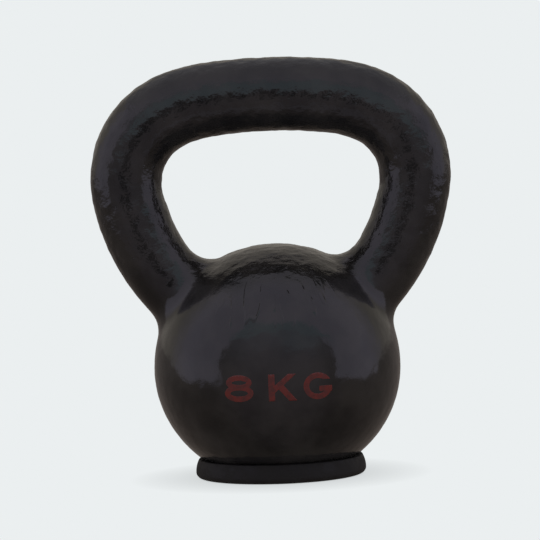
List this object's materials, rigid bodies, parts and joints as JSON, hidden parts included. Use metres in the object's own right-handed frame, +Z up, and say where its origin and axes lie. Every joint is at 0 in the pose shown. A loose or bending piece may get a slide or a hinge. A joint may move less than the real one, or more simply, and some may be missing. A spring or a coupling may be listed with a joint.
{
  "type": "kettlebell",
  "caption": "Kettlebell: a solid iron ball and thick round handle cast in one piece, with a flat rubber boot fixed under its foot and a painted weight mark.",
  "frame": {"origin": "middle of the flat underside, on the surface that the kettlebell stands on", "axes": "+Z up from the underside to the grip, X along the grip, -Y towards the marked front"},
  "size_m": [0.1724, 0.1182, 0.2001],
  "materials": {
    "enamelled_iron": "thick gloss black enamel over a lumpy sand-cast surface",
    "base_rubber": "matte black moulded rubber",
    "fixing_steel": "zinc-plated steel",
    "mark_paint": "dark red screen-printed paint"
  },
  "bodies": {
    "root": {"bell_casting": "enamelled_iron", "rubber_base": "base_rubber", "base_washer": "fixing_steel", "base_screw": "fixing_steel", "weight_mark": "mark_paint"}
  },
  "joints": []
}
